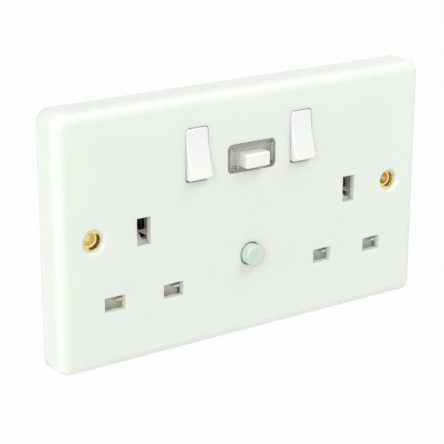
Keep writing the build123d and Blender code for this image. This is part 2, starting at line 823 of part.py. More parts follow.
def make_bridge(side):
    """See-saw contact bridge under a rocker, tipped open at rest."""
    plane = tilted(rocker_x[side] - bridge_half_width, bridge_pivot_y, rocker_centre_z, bridge_tilt)
    middle = tilted(rocker_x[side], bridge_pivot_y, rocker_centre_z, bridge_tilt)
    front = bridge_front_y - bridge_pivot_y
    with BuildPart() as bridge:
        with BuildSketch(plane):
            with BuildLine():
                Polyline(
                    (front, -bridge_half_length),
                    (front, bridge_half_length),
                    (front + strip - 0.1, bridge_half_length),
                    (front + strip - 0.1, -bridge_half_length),
                    close=True,
                )
            make_face()
        extrude(amount=2 * bridge_half_width)
        rivet_plane = Plane(
            origin=middle.from_local_coords(Vector(front + strip - 0.1, bridge_rivet_offset, 0)),
            x_dir=(1, 0, 0),
            z_dir=middle.x_dir,
        )
        with BuildSketch(rivet_plane):
            Circle(switch_rivet_radius)
        extrude(amount=rivet_height)
    save(bridge.part, f"{side_names[side]}_contact_bridge")


def rocker_corner():
    """Half length and height above the pivot of the face's ends, so that both tilts clear the opening."""
    turn = math.radians(rocker_tilt)
    reach = rocker_opening_height / 2 - rocker_end_gap
    flush = rocker_pivot_depth + 0.05
    half_length = reach * math.cos(turn) - flush * math.sin(turn)
    height = reach * math.sin(turn) + flush * math.cos(turn)
    return half_length, height


def make_rocker(side):
    """Rocker with its dished face, its trunnions and the stem that holds the spring and plunger."""
    half_length, height = rocker_corner()
    skirt = rocker_opening_height / 2 - rocker_end_gap
    half_width = rocker_opening_width / 2 - rocker_gap
    x = rocker_x[side]
    left = tilted(x - half_width, rocker_pivot_y, rocker_centre_z, -rocker_tilt)
    middle = tilted(x, rocker_pivot_y, rocker_centre_z, -rocker_tilt)
    trunnion_end = tilted(x - half_width - trunnion_length, rocker_pivot_y, rocker_centre_z, -rocker_tilt)
    stem_base = Plane(
        origin=middle.from_local_coords(Vector(stem_reach, 0, 0)), x_dir=(1, 0, 0), z_dir=-middle.x_dir
    )
    with BuildPart() as rocker:
        with BuildSketch(left):
            with BuildLine():
                ThreePointArc((-height, half_length), (-height + rocker_dish, 0), (-height, -half_length))
                Polyline(
                    (-height, -half_length),
                    (-0.6, -skirt),
                    (2.0, -skirt + 0.4),
                    (2.4, -skirt + 1.6),
                    (2.4, skirt - 1.6),
                    (2.0, skirt - 0.4),
                    (-0.6, skirt),
                    (-height, half_length),
                )
            make_face()
        extrude(amount=2 * half_width)
        # Rounded corners at the ends, then the rounded edge of the face
        flanks = rocker.faces().sort_by(Axis.X)
        flank_edges = flanks[0].edges() + flanks[-1].edges()
        end_edges = flank_edges.filter_by(
            lambda edge: abs(middle.to_local_coords(edge.center()).Y) > half_length - 0.1
            and edge.length > rocker_corner_radius
        )
        fillet(end_edges, radius=rocker_corner_radius)
        face_edges = rocker.faces().sort_by(Axis.Y)[0].edges()
        fillet(face_edges, radius=rocker_edge_radius)
        with BuildSketch(trunnion_end):
            Circle(trunnion_radius)
        extrude(amount=2 * (half_width + trunnion_length))
        with BuildSketch(stem_base):
            Rectangle(2 * stem_half_width, 2 * stem_half_width)
        extrude(amount=stem_reach)
        with BuildSketch(stem_base):
            Circle(plunger_radius + 0.15)
        extrude(amount=stem_reach - stem_bore_end, mode=Mode.SUBTRACT)
    save(rocker.part, f"{side_names[side]}_rocker")


def make_rocker_plunger(side):
    """Round-nosed plunger that slides in a rocker's stem."""
    middle = tilted(rocker_x[side], rocker_pivot_y, rocker_centre_z, -rocker_tilt)
    tip = plunger_reach
    back = plunger_reach - plunger_length
    with BuildPart() as plunger:
        with BuildSketch(middle):
            with BuildLine():
                Line((back, 0), (back, plunger_radius))
                Line((back, plunger_radius), (tip - plunger_radius, plunger_radius))
                ThreePointArc(
                    (tip - plunger_radius, plunger_radius),
                    (tip - plunger_radius * (1 - math.sqrt(0.5)), plunger_radius * math.sqrt(0.5)),
                    (tip, 0),
                )
                Line((tip, 0), (back, 0))
            make_face()
        revolve(axis=Axis(middle.origin, middle.x_dir))
    save(plunger.part, f"{side_names[side]}_rocker_plunger")


def make_spring(start, direction, length, coil_radius_mm, wire_radius, turns, name):
    """Helical compression spring from a start point along a direction."""
    rise = length - 2 * wire_radius
    pitch = rise / turns
    axis = Vector(*direction).normalized()
    base = Vector(*start) + axis * wire_radius
    with BuildPart() as spring:
        with BuildLine() as coil:
            Helix(pitch=pitch, height=rise, radius=coil_radius_mm, center=base, direction=axis)
        with BuildSketch(coil.line ^ 0):
            Circle(wire_radius)
        sweep()
    print(name, "gap between turns", round(pitch - 2 * wire_radius, 2))
    save(spring.part, name)


def make_shutter(side):
    """Shutter: a bar over the line and neutral holes and a ramp that the earth pin pushes down."""
    x = side * socket_offset
    bar_top = -pin_drop + live_hole_height / 2 + 0.5
    bar_low = bar_top - shutter_bar_height
    plate_front = shutter_back_y - shutter_plate
    ramp_low = ramp_top - ramp_depth
    with BuildPart() as shutter:
        with BuildSketch(at_depth(shutter_back_y)):
            band(x - shutter_bar_half_width, x + shutter_bar_half_width, bar_low, bar_top)
        extrude(amount=shutter_plate)
        # Wedge on the bar in each line and neutral hole
        with BuildSketch(at_depth(plate_front)):
            with Locations((line_pin_x[side], -pin_drop), (neutral_pin_x[side], -pin_drop)):
                Polygon(
                    (wedge_start, 0),
                    (wedge_end, -wedge_height / 2),
                    (wedge_end, wedge_height / 2),
                    align=None,
                )
        extrude(amount=plate_front - shutter_front_y)
        # Stem with a wide ramp at its top, which ends in a lip
        lip_y = shutter_front_y + lip_top - ramp_low
        with BuildSketch(across(x - shutter_stem_half_width)):
            with BuildLine():
                Polyline(
                    (shutter_back_y, bar_top - 1),
                    (plate_front, bar_top - 1),
                    (plate_front, ramp_low - 1.5),
                    (shutter_front_y, ramp_low - 1.0),
                    (shutter_front_y, ramp_low),
                    (lip_y, lip_top),
                    (shutter_back_y, lip_top - lip_fall),
                    close=True,
                )
            make_face()
        extrude(amount=2 * shutter_stem_half_width)
        # Pocket in the wide ramp, under its lip
        pocket_left_top = lip_top - pocket_drop
        pocket_right_top = pocket_left_top - pocket_slope * (pocket_right - pocket_left)
        with BuildSketch(at_depth(shutter_back_y)):
            with BuildLine():
                Polyline(
                    (x + pocket_left, pocket_left_top),
                    (x + pocket_right, pocket_right_top),
                    (x + pocket_right, pocket_right_top - pocket_right_height),
                    (x + pocket_left, pocket_left_top - pocket_left_height),
                    close=True,
                )
            make_face()
        extrude(amount=shutter_back_y - shutter_front_y, mode=Mode.SUBTRACT)
        # Narrow ramp that carries on behind the lip, into the deck's slot
        shelf_y = shutter_front_y + ramp_depth
        with BuildSketch(across(x - ramp_half_width)):
            with BuildLine():
                Polyline(
                    (lip_y, lip_top),
                    (shelf_y, ramp_top),
                    (shelf_y + ramp_shelf, ramp_top),
                    (shelf_y + ramp_shelf, ramp_top - 2.5),
                    (shutter_back_y, lip_top - lip_height - 1.5),
                    (lip_y, lip_top - lip_height),
                    close=True,
                )
            make_face()
        extrude(amount=2 * ramp_half_width)
        with BuildSketch(at_depth(shutter_back_y)):
            band(x - window_half_width, x + window_half_width, peg_low_z - 0.2, spring_top_z)
        extrude(amount=shutter_back_y - shutter_front_y, mode=Mode.SUBTRACT)
    save(shutter.part, f"{side_names[side]}_shutter")


def make_window():
    """Clear window: a shallow tray with a collar that the reset button slides in."""
    outer_w = window_width - 2 * window_fit
    outer_h = window_height - 2 * window_fit
    hole_w = reset_cap_width + 2 * reset_gap
    hole_h = reset_cap_height + 2 * reset_gap
    collar_w = hole_w + 2 * reset_collar
    collar_h = hole_h + 2 * reset_collar
    with BuildPart() as window:
        with BuildSketch(at_depth(window_back_y)):
            with Locations((window_centre_x, window_centre_z)):
                RectangleRounded(outer_w, outer_h, window_corner_radius - window_fit)
        extrude(amount=window_depth)
        with BuildSketch(at_depth(window_back_y)):
            with Locations((window_centre_x, window_centre_z)):
                RectangleRounded(outer_w - 2 * window_wall, outer_h - 2 * window_wall, 0.8)
            with Locations((reset_centre_x, reset_centre_z)):
                Rectangle(collar_w, collar_h, mode=Mode.SUBTRACT)
        extrude(amount=window_depth - window_step - window_wall, mode=Mode.SUBTRACT)
        with BuildSketch(at_depth(window_front_y + window_step)):
            with Locations((window_centre_x, window_centre_z)):
                RectangleRounded(outer_w - 2 * window_rim, outer_h - 2 * window_rim, 0.8)
            with Locations((reset_centre_x, reset_centre_z)):
                Rectangle(collar_w, collar_h, mode=Mode.SUBTRACT)
        extrude(amount=window_step, mode=Mode.SUBTRACT)
        with BuildSketch(at_depth(window_back_y)):
            with Locations((window_centre_x, window_centre_z)):
                RectangleRounded(outer_w + 1.6, outer_h + 1.6, window_corner_radius)
                Rectangle(outer_w - 2 * window_wall, outer_h - 2 * window_wall, mode=Mode.SUBTRACT)
        extrude(amount=window_back_y - wall_back_y)
        with BuildSketch(at_depth(window_back_y)):
            with Locations((reset_centre_x, reset_centre_z)):
                RectangleRounded(hole_w, hole_h, 0.5)
        extrude(amount=window_depth, mode=Mode.SUBTRACT)
    save(window.part, "reset_window")


def make_reset_button():
    """Reset button: cap with rounded edges, flange and square stem."""
    with BuildPart() as button:
        with BuildSketch(at_depth(reset_flange_front_y)):
            with Locations((reset_centre_x, reset_centre_z)):
                RectangleRounded(reset_cap_width, reset_cap_height, 0.8)
        extrude(amount=reset_flange_front_y - reset_front_y)
        fillet(button.faces().sort_by(Axis.Y)[0].edges(), radius=reset_cap_radius)
        with BuildSketch(at_depth(reset_flange_back_y)):
            with Locations((reset_centre_x, reset_centre_z)):
                Rectangle(reset_flange_width, reset_flange_height)
        extrude(amount=reset_flange)
        with BuildSketch(at_depth(reset_stem_end_y)):
            with Locations((reset_centre_x, reset_centre_z)):
                Rectangle(reset_stem, reset_stem)
        extrude(amount=reset_stem_end_y - reset_flange_back_y)
    save(button.part, "reset_button")


def make_flag():
    """Red flag that shows in the window, with the stem that reaches back to the carriage."""
    high_x = flag_left_x + flag_width
    front_y = window_back_y + 0.15
    with BuildPart() as flag:
        with BuildSketch(at_depth(front_y + flag_thickness)):
            band(flag_left_x, high_x, flag_low_z, flag_low_z + flag_height)
        extrude(amount=flag_thickness)
        with BuildSketch(at_depth(reset_stem_end_y)):
            band(high_x - 0.7, high_x, flag_low_z + 0.3, flag_low_z + 2.2)
        extrude(amount=reset_stem_end_y - front_y - flag_thickness)
    save(flag.part, "indicator_flag")


def make_carriage():
    """Contact carriage: the moulding that the reset button pushes, carrying both moving contacts."""
    with BuildPart() as carriage:
        with BuildSketch(at_depth(carriage_back_y)):
            with Locations((window_centre_x, window_centre_z)):
                RectangleRounded(2 * carriage_half_width, carriage_height, 0.8)
        extrude(amount=carriage_depth)
    save(carriage.part, "contact_carriage")


def make_moving_contact(side, name):
    """Moving contact: a strip under the carriage with a rivet at its lower end."""
    x = side * main_contact_offset
    half = main_strip_width / 2
    with BuildPart() as contact:
        with BuildSketch(at_depth(carriage_back_y + strip)):
            band(x - half, x + half, main_contact_z - 2, window_centre_z + carriage_height / 2)
        extrude(amount=strip)
        with BuildSketch(at_depth(moving_rivet_y)):
            with Locations((x, main_contact_z)):
                Circle(rivet_radius)
        extrude(amount=rivet_height)
    save(contact.part, name)


def make_supply_strap(side, name):
    """Strip from a supply terminal to the fixed main contact under the carriage."""
    x = side * main_contact_offset
    half = main_strip_width / 2
    leg_x = side * (terminal_offset - terminal_width / 2 - strip)
    back_y = supply_strap_y + strip
    with BuildPart() as strap:
        with BuildSketch(at_depth(back_y)):
            band(x - half, x + half, main_contact_z - 1.5, supply_strap_z + half)
            low_x, high_x = sorted((x, leg_x + side * strip))
            band(low_x, high_x, supply_strap_z - half, supply_strap_z + half)
        extrude(amount=strip)
        with BuildSketch(at_depth(back_y)):
            low_x, high_x = sorted((leg_x, leg_x + side * strip))
            band(low_x, high_x, supply_strap_z - half, supply_strap_z + half + 2)
        extrude(amount=back_y - terminal_front_y - 1)
        with BuildSketch(at_depth(supply_strap_y)):
            with Locations((x, main_contact_z)):
                Circle(rivet_radius)
        extrude(amount=supply_strap_y - fixed_rivet_y)
    save(strap.part, name)


def make_terminal(x, z, front_y, bore_y, name):
    """Brass terminal block with its cable bore and its tapped screw hole."""
    with BuildPart() as terminal:
        with BuildSketch(at_depth(front_y + terminal_depth)):
            with Locations((x, z)):
                RectangleRounded(terminal_width, terminal_height, 0.4)
        extrude(amount=terminal_depth)
        with BuildSketch(Plane.XY.offset(z - terminal_height / 2)):
            with Locations((x, bore_y)):
                Circle(cable_bore_radius)
        extrude(amount=terminal_height, mode=Mode.SUBTRACT)
        with BuildSketch(at_depth(front_y + terminal_depth)):
            with Locations((x, z)):
                Circle(terminal_screw_radius + 0.05)
        extrude(amount=front_y + terminal_depth - bore_y, mode=Mode.SUBTRACT)
    save(terminal.part, name)


def make_terminal_screws():
    """Slotted screws of the three terminals."""
    places = [
        (-terminal_offset, terminal_z, terminal_front_y + terminal_depth, 0),
        (terminal_offset, terminal_z, terminal_front_y + terminal_depth, 0),
        (0, -earth_terminal_drop, earth_bar_y, strip),
    ]
    with BuildPart() as screws:
        for x, z, block_back_y, under_head in places:
            seat_y = block_back_y + under_head
            with BuildSketch(at_depth(seat_y)):
                with Locations((x, z)):
                    Circle(terminal_screw_radius)
            reach = terminal_depth - cable_bore_depth - cable_bore_radius - 0.3
            extrude(amount=seat_y - block_back_y + reach)
            with BuildSketch(at_depth(seat_y + terminal_head_height)):
                with Locations((x, z)):
                    Circle(terminal_head_radius)
            extrude(amount=terminal_head_height)
            with BuildSketch(at_depth(seat_y + terminal_head_height)):
                with Locations((x, z)):
                    Rectangle(2 * terminal_head_radius, 0.9)
            extrude(amount=1.0, mode=Mode.SUBTRACT)
    save(screws.part, "terminal_screws")


def make_test_button():
    """Round test button: shallowly dished cap, flange and stem."""
    flange_front_y = test_flange_back_y - test_flange
    with BuildPart() as button:
        with BuildSketch(at_depth(flange_front_y)):
            with Locations((0, test_centre_z)):
                Circle(test_cap_radius)
        extrude(amount=flange_front_y - face_y + test_cap_proud)
        fillet(button.faces().sort_by(Axis.Y)[0].edges(), radius=0.8)
        cap_front_y = face_y - test_cap_proud
        dish_radius = (test_dish_radius**2 + test_dish_depth**2) / (2 * test_dish_depth)
        with Locations((0, cap_front_y + test_dish_depth - dish_radius, test_centre_z)):
            Sphere(dish_radius, mode=Mode.SUBTRACT)
        with BuildSketch(at_depth(test_flange_back_y)):
            with Locations((0, test_centre_z)):
                Circle(test_flange_radius)
        extrude(amount=test_flange)
        with BuildSketch(at_depth(test_stem_end_y)):
            with Locations((0, test_centre_z)):
                Circle(test_stem_radius)
        extrude(amount=test_stem_end_y - test_flange_back_y)
    save(button.part, "test_button")


def make_test_leaf():
    """Springy leaf that the test button's stem presses."""
    front_y = test_stem_end_y + test_travel + 0.2
    thickness = 0.5
    with BuildPart() as leaf:
        with BuildSketch(at_depth(front_y + thickness)):
            band(-7.0, 1.5, test_centre_z - 1.6, test_centre_z + 1.6)
            band(-7.0, -4.2, test_centre_z - 1.6, test_leaf_leg_z)
        extrude(amount=thickness)
        with BuildSketch(at_depth(board_front_y)):
            band(-7.0, -4.2, test_leaf_leg_z - thickness, test_leaf_leg_z)
        extrude(amount=board_front_y - front_y)
    save(leaf.part, "test_leaf")


def make_test_post():
    """Pin on the board that the test leaf is pressed against."""
    front_y = test_stem_end_y + test_travel + 1.9
    with BuildPart() as post:
        with BuildSketch(at_depth(board_front_y)):
            with Locations((-5.6, test_leaf_leg_z - 2.3)):
                Circle(0.7)
        extrude(amount=board_front_y - front_y)
    save(post.part, "test_post")


def make_board():
    """Circuit board of the residual current device."""
    with BuildPart() as board:
        with BuildSketch(at_depth(board_front_y + board_thickness)) as outline:
            band(-board_half_width, board_half_width, board_low_z, board_high_z)
            fillet(outline.vertices(), 1.0)
        extrude(amount=board_thickness)
    save(board.part, "circuit_board")


def make_toroid():
    """Sensing toroid: the taped ring that both main conductors pass through."""
    with BuildPart() as toroid:
        with BuildSketch(Plane.XY.offset(toroid_centre_z - toroid_height / 2)):
            with Locations((0, board_front_y - toroid_outer_radius - 0.3)):
                Circle(toroid_outer_radius)
                Circle(toroid_inner_radius, mode=Mode.SUBTRACT)
        extrude(amount=toroid_height)
        fillet(toroid.edges().filter_by(GeomType.CIRCLE), radius=1.2)
    save(toroid.part, "sensing_toroid")


def make_conductor(points, name):
    """Round copper conductor with rounded bends."""
    with BuildPart() as conductor:
        with BuildLine() as route:
            FilletPolyline(*points, radius=conductor_bend)
        with BuildSketch(route.line ^ 0):
            Circle(conductor_radius)
        sweep()
    save(conductor.part, name)


def make_solenoid():
    """Trip solenoid: the winding on its flanged bobbin."""
    x, y = coil_place
    with BuildPart() as solenoid:
        with BuildSketch(Plane.XY.offset(coil_low_z)):
            with Locations((x, y)):
                Circle(coil_radius)
        extrude(amount=coil_high_z - coil_low_z)
        for flange_z in (coil_low_z, coil_high_z - 0.8):
            with BuildSketch(Plane.XY.offset(flange_z)):
                with Locations((x, y)):
                    Circle(bobbin_radius)
            extrude(amount=0.8)
        with BuildSketch(Plane.XY.offset(coil_low_z)):
            with Locations((x, y)):
                Circle(trip_plunger_radius + 0.15)
        extrude(amount=coil_high_z - coil_low_z, mode=Mode.SUBTRACT)
    save(solenoid.part, "trip_solenoid")


def make_solenoid_frame():
    """Steel frame round the trip solenoid, standing off the circuit board."""
    x, y = coil_place
    back_y = y + bobbin_radius + 0.1
    with BuildPart() as frame:
        with BuildSketch(across(x - 4)):
            with BuildLine():
                Polyline(
                    (y - 3, coil_low_z - 0.1),
                    (back_y, coil_low_z - 0.1),
                    (back_y, coil_high_z + 0.1),
                    (y - 3, coil_high_z + 0.1),
                    (y - 3, coil_high_z + 1.1),
                    (back_y + 1, coil_high_z + 1.1),
                    (back_y + 1, coil_low_z - 1.1),
                    (y - 3, coil_low_z - 1.1),
                    close=True,
                )
            make_face()
        extrude(amount=8)
        with BuildSketch(Plane.XY.offset(coil_high_z + 1.1)):
            with Locations((x, y)):
                Circle(trip_plunger_radius + 0.2)
        extrude(amount=-1, mode=Mode.SUBTRACT)
        with BuildSketch(at_depth(board_front_y)):
            with Locations((x - 2.5, coil_low_z + 3), (x + 2.5, coil_low_z + 3), (x, coil_high_z - 3)):
                Circle(0.8)
        extrude(amount=board_front_y - back_y - 1)
    save(frame.part, "solenoid_frame")


def make_trip_plunger():
    """Plunger of the trip solenoid, which strikes the trip lever."""
    x, y = coil_place
    low_z = coil_low_z + 1.5
    with BuildPart() as plunger:
        with BuildSketch(Plane.XY.offset(low_z)):
            with Locations((x, y)):
                Circle(trip_plunger_radius)
        extrude(amount=trip_plunger_shoulder - low_z)
        chamfer(plunger.edges().sort_by(Axis.Z)[-1], length=0.4)
        with BuildSketch(Plane.XY.offset(trip_plunger_shoulder)):
            with Locations((x, y)):
                Circle(trip_plunger_tip_radius)
        extrude(amount=trip_plunger_top - trip_plunger_shoulder)
    save(plunger.part, "trip_plunger")


def make_trip_lever():
    """Trip lever with its pivot pin and the hook that holds the contact carriage."""
    pivot_x, pivot_z = lever_pivot
    back_y = lever_front_y + lever_thickness
    hook_top = window_centre_z - carriage_height / 2 - 0.3
    with BuildPart() as lever:
        with BuildSketch(at_depth(back_y)):
            band(coil_place[0] - 2, -3, pivot_z - lever_half_height, pivot_z + lever_half_height)
            band(-5, -3, pivot_z, hook_top)
            with Locations(lever_pivot):
                Circle(2.2)
        extrude(amount=lever_thickness)
        with BuildSketch(at_depth(lever_front_y)):
            with Locations(lever_pivot):
                Circle(lever_pin_radius)
        extrude(amount=lever_front_y - deck_front_y - 0.4)
    save(lever.part, "trip_lever")


def make_board_parts():
    """Small parts that stand on the front of the circuit board."""
    with BuildPart() as chip:
        with BuildSketch(at_depth(board_front_y)):
            with Locations((10.5, 4.5)):
                Rectangle(4, 5)
        extrude(amount=1.6)
    save(chip.part, "sense_chip")

    capacitor_radius = 3.2
    with BuildPart() as capacitor:
        with BuildSketch(Plane.XY.offset(-7.5)):
            with Locations((18.5, board_front_y - capacitor_radius - 0.1)):
                Circle(capacitor_radius)
        extrude(amount=10.5)
        fillet(capacitor.edges().sort_by(Axis.Z)[-1], radius=0.4)
    save(capacitor.part, "smoothing_capacitor")

    with BuildPart() as varistor:
        with BuildSketch(at_depth(board_front_y)):
            with Locations((17.5, -12.5)):
                Circle(4)
        extrude(amount=3.2)
        fillet(varistor.edges().sort_by(Axis.Y)[0], radius=0.8)
    save(varistor.part, "varistor")

    resistor_radius = 1.2
    with BuildPart() as resistor:
        with BuildSketch(Plane.XY.offset(-16.0)):
            with Locations((-9.5, board_front_y - resistor_radius - 0.1)):
                Circle(resistor_radius)
        extrude(amount=6.5)
        fillet(resistor.edges().filter_by(GeomType.CIRCLE), radius=0.4)
    save(resistor.part, "test_resistor")


# Places that several pieces share
spring_top_z = ramp_top - ramp_depth - 1.7
peg_low_z = spring_top_z - shutter_spring_length - peg_height - 0.3
flag_low_z = window_centre_z - window_height / 2 - 1.5
earth_terminal_drop = 24.6
earth_cable_y = earth_bar_y - terminal_depth + cable_bore_depth
bridge_pivot_y = bridge_front_y + strip
load_bar_height = rocker_centre_z + load_bar_rise
test_leaf_leg_z = -8.6
bridge_turn = math.radians(bridge_tilt)
rivet_rise = rivet_height - 0.1
fixed_switch_rivet_y = (
    bridge_pivot_y
    + rivet_rise * math.cos(bridge_turn)
    + (bridge_rivet_offset + switch_rivet_radius) * math.sin(bridge_turn)
    + 0.2
)
fixed_switch_rivet_z = (
    rocker_centre_z + bridge_rivet_offset * math.cos(bridge_turn) - rivet_rise * math.sin(bridge_turn)
)

make_faceplate()
make_deck()
make_housing()
make_housing_screws()
make_earth_bar()
make_neutral_bar()
make_load_line_bar()

for side in (-1, 1):
    make_eyelet(side)
    make_earth_strap(side)
    make_earth_contact(side)
    make_live_contact(line_pin_x[side], f"{side_names[side]}_line_contact")
    make_live_contact(neutral_pin_x[side], f"{side_names[side]}_neutral_contact")
    make_switched_strap(side)
    make_bridge(side)
    make_rocker(side)
    make_rocker_plunger(side)
    make_shutter(side)
    rocker_axis = tilted(rocker_x[side], rocker_pivot_y, rocker_centre_z, -rocker_tilt)
    make_spring(
        tuple(rocker_axis.from_local_coords(Vector(stem_bore_end + 0.05, 0, 0))),
        tuple(rocker_axis.x_dir),
        plunger_reach - plunger_length - stem_bore_end - 0.1,
        rocker_spring_radius,
        rocker_spring_wire,
        rocker_spring_turns,
        f"{side_names[side]}_rocker_spring",
    )
    make_spring(
        (side * socket_offset, (shutter_front_y + shutter_back_y) / 2, peg_low_z + peg_height + 0.1),
        (0, 0, 1),
        shutter_spring_length,
        shutter_spring_radius,
        shutter_spring_wire,
        shutter_spring_turns,
        f"{side_names[side]}_shutter_spring",
    )

make_window()
make_reset_button()
make_spring(
    (reset_centre_x, reset_flange_back_y + 0.05, reset_centre_z),
    (0, 1, 0),
    reset_well_floor_y - reset_flange_back_y - 0.1,
    reset_spring_radius,
    reset_spring_wire,
    reset_spring_turns,
    "reset_spring",
)
make_flag()
make_carriage()
make_moving_contact(1, "line_moving_contact")
make_moving_contact(-1, "neutral_moving_contact")
make_supply_strap(1, "line_supply_strap")
make_supply_strap(-1, "neutral_supply_strap")
make_terminal(
    terminal_offset, terminal_z, terminal_front_y, terminal_front_y + cable_bore_depth, "line_terminal"
)
make_terminal(
    -terminal_offset, terminal_z, terminal_front_y, terminal_front_y + cable_bore_depth, "neutral_terminal"
)
make_terminal(0, -earth_terminal_drop, earth_bar_y - terminal_depth, earth_cable_y, "earth_terminal")
make_terminal_screws()
make_test_button()
make_spring(
    (0, test_flange_back_y + 0.05, test_centre_z),
    (0, 1, 0),
    -test_flange_back_y - 0.1,
    test_spring_radius,
    test_spring_wire,
    test_spring_turns,
    "test_spring",
)
make_test_leaf()
make_test_post()
make_board()
make_toroid()
make_conductor(
    [
        (conductor_offset, conductor_y, 6.0),
        (conductor_offset, conductor_y, -8.5),
        (line_return_x, conductor_y, -8.5),
        (line_return_x, conductor_y, load_bar_height),
        (line_return_x, load_bar_y, load_bar_height),
    ],
    "line_conductor",
)
make_conductor(
    [
        (-conductor_offset, conductor_y, 6.0),
        (-conductor_offset, conductor_y, -neutral_bar_drop),
        (-conductor_offset, neutral_bar_y, -neutral_bar_drop),
    ],
    "neutral_conductor",
)
make_solenoid()
make_solenoid_frame()
make_trip_plunger()
make_trip_lever()
make_board_parts()
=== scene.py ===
"""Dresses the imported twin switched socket: materials, softened edges, camera, light and floor. Metres."""

import math

import bpy
from mathutils import Matrix, Vector


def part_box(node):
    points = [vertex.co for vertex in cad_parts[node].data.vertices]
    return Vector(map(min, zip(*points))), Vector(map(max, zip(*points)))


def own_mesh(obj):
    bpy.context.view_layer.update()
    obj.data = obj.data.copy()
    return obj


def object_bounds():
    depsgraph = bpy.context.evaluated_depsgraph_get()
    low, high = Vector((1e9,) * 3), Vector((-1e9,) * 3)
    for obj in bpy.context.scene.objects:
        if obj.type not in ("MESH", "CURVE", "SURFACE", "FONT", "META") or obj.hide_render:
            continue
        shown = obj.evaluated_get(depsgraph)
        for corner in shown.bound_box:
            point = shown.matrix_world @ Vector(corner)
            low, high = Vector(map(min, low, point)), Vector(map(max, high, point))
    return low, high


MM = 0.001
WAVE_PERIOD = 0.314  # what the wave texture repeats at when its scale is 1
COLOUR_SOCKETS = (6, 7)  # the two colour inputs of a Mix node
COLOUR_RESULT = 2

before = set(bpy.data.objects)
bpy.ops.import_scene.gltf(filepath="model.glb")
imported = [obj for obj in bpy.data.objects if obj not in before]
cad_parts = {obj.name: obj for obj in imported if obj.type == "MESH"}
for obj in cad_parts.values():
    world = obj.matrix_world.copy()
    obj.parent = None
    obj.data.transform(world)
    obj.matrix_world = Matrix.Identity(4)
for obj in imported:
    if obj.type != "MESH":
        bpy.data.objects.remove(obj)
cad_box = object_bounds()


# Materials


def new_material(name):
    """A node material with its Principled shader, and the mapping of the part's own metres."""
    material = bpy.data.materials.new(name)
    material.use_nodes = True
    nodes = material.node_tree.nodes
    shader = next(node for node in nodes if node.type == "BSDF_PRINCIPLED")
    place = nodes.new("ShaderNodeTexCoord")
    return material, nodes, material.node_tree.links, shader, place.outputs["Object"]


def noise(nodes, links, place, size_mm, detail=3.0, stretch=(1, 1, 1)):
    """Noise whose features are about size_mm across, as a factor from 0 to 1."""
    mapping = nodes.new("ShaderNodeMapping")
    mapping.inputs["Scale"].default_value = stretch
    links.new(place, mapping.inputs["Vector"])
    texture = nodes.new("ShaderNodeTexNoise")
    texture.inputs["Scale"].default_value = 1.0 / (size_mm * MM)
    texture.inputs["Detail"].default_value = detail
    links.new(mapping.outputs["Vector"], texture.inputs["Vector"])
    return texture.outputs["Fac"]


def spread(nodes, links, value, low, high):
    """Stretches the middle of a noise to the range from low to high."""
    ranged = nodes.new("ShaderNodeMapRange")
    ranged.inputs["From Min"].default_value = 0.3
    ranged.inputs["From Max"].default_value = 0.7
    ranged.inputs["To Min"].default_value = low
    ranged.inputs["To Max"].default_value = high
    links.new(value, ranged.inputs["Value"])
    return ranged.outputs["Result"]


def blend_colours(nodes, links, factor, first, second):
    """Mixes two colours by a factor."""
    mix = nodes.new("ShaderNodeMix")
    mix.data_type = "RGBA"
    for socket, colour in zip(COLOUR_SOCKETS, (first, second)):
        mix.inputs[socket].default_value = (*colour, 1)
    links.new(factor, mix.inputs[0])
    return mix.outputs[COLOUR_RESULT]


def add_bump(nodes, links, shader, height, depth_mm, strength):
    """Roughens the surface by a height from 0 to 1, depth_mm deep."""
    bump = nodes.new("ShaderNodeBump")
    bump.inputs["Distance"].default_value = depth_mm * MM
    bump.inputs["Strength"].default_value = strength
    links.new(height, bump.inputs["Height"])
    links.new(bump.outputs["Normal"], shader.inputs["Normal"])


def plastic(name, colour, shade, roughness, grain_mm=0.25, depth_mm=0.01, patch_mm=14, coat=0.0, soft=0.0):
    """Moulded plastic: a faint cloud of two colours, uneven gloss and a fine moulded grain."""
    material, nodes, links, shader, place = new_material(name)
    cloud = spread(nodes, links, noise(nodes, links, place, patch_mm), 0, 1)
    links.new(blend_colours(nodes, links, cloud, colour, shade), shader.inputs["Base Color"])
    gloss = noise(nodes, links, place, patch_mm, 1.0)
    links.new(spread(nodes, links, gloss, roughness - 0.02, roughness + 0.02), shader.inputs["Roughness"])
    add_bump(nodes, links, shader, noise(nodes, links, place, grain_mm, 2.0), depth_mm, 0.5)
    shader.inputs["IOR"].default_value = 1.5
    shader.inputs["Coat Weight"].default_value = coat
    shader.inputs["Coat Roughness"].default_value = 0.08
    if soft:
        shader.inputs["Subsurface Weight"].default_value = soft
        shader.inputs["Subsurface Radius"].default_value = (1.0, 0.9, 0.8)
        shader.inputs["Subsurface Scale"].default_value = 2.5 * MM
    return material


def metal(name, colour, shade, roughness, patch_mm=1.6, grain_mm=0.12, depth_mm=0.006):
    """Metal strip or turned metal: tarnish in patches, fine grain and uneven gloss."""
    material, nodes, links, shader, place = new_material(name)
    shader.inputs["Metallic"].default_value = 1.0
    tarnish = spread(nodes, links, noise(nodes, links, place, patch_mm, 4.0), 0, 1)
    links.new(blend_colours(nodes, links, tarnish, colour, shade), shader.inputs["Base Color"])
    gloss = noise(nodes, links, place, patch_mm / 2)
    links.new(spread(nodes, links, gloss, roughness - 0.06, roughness + 0.08), shader.inputs["Roughness"])
    add_bump(nodes, links, shader, noise(nodes, links, place, grain_mm, 2.0), depth_mm, 0.4)
    return material


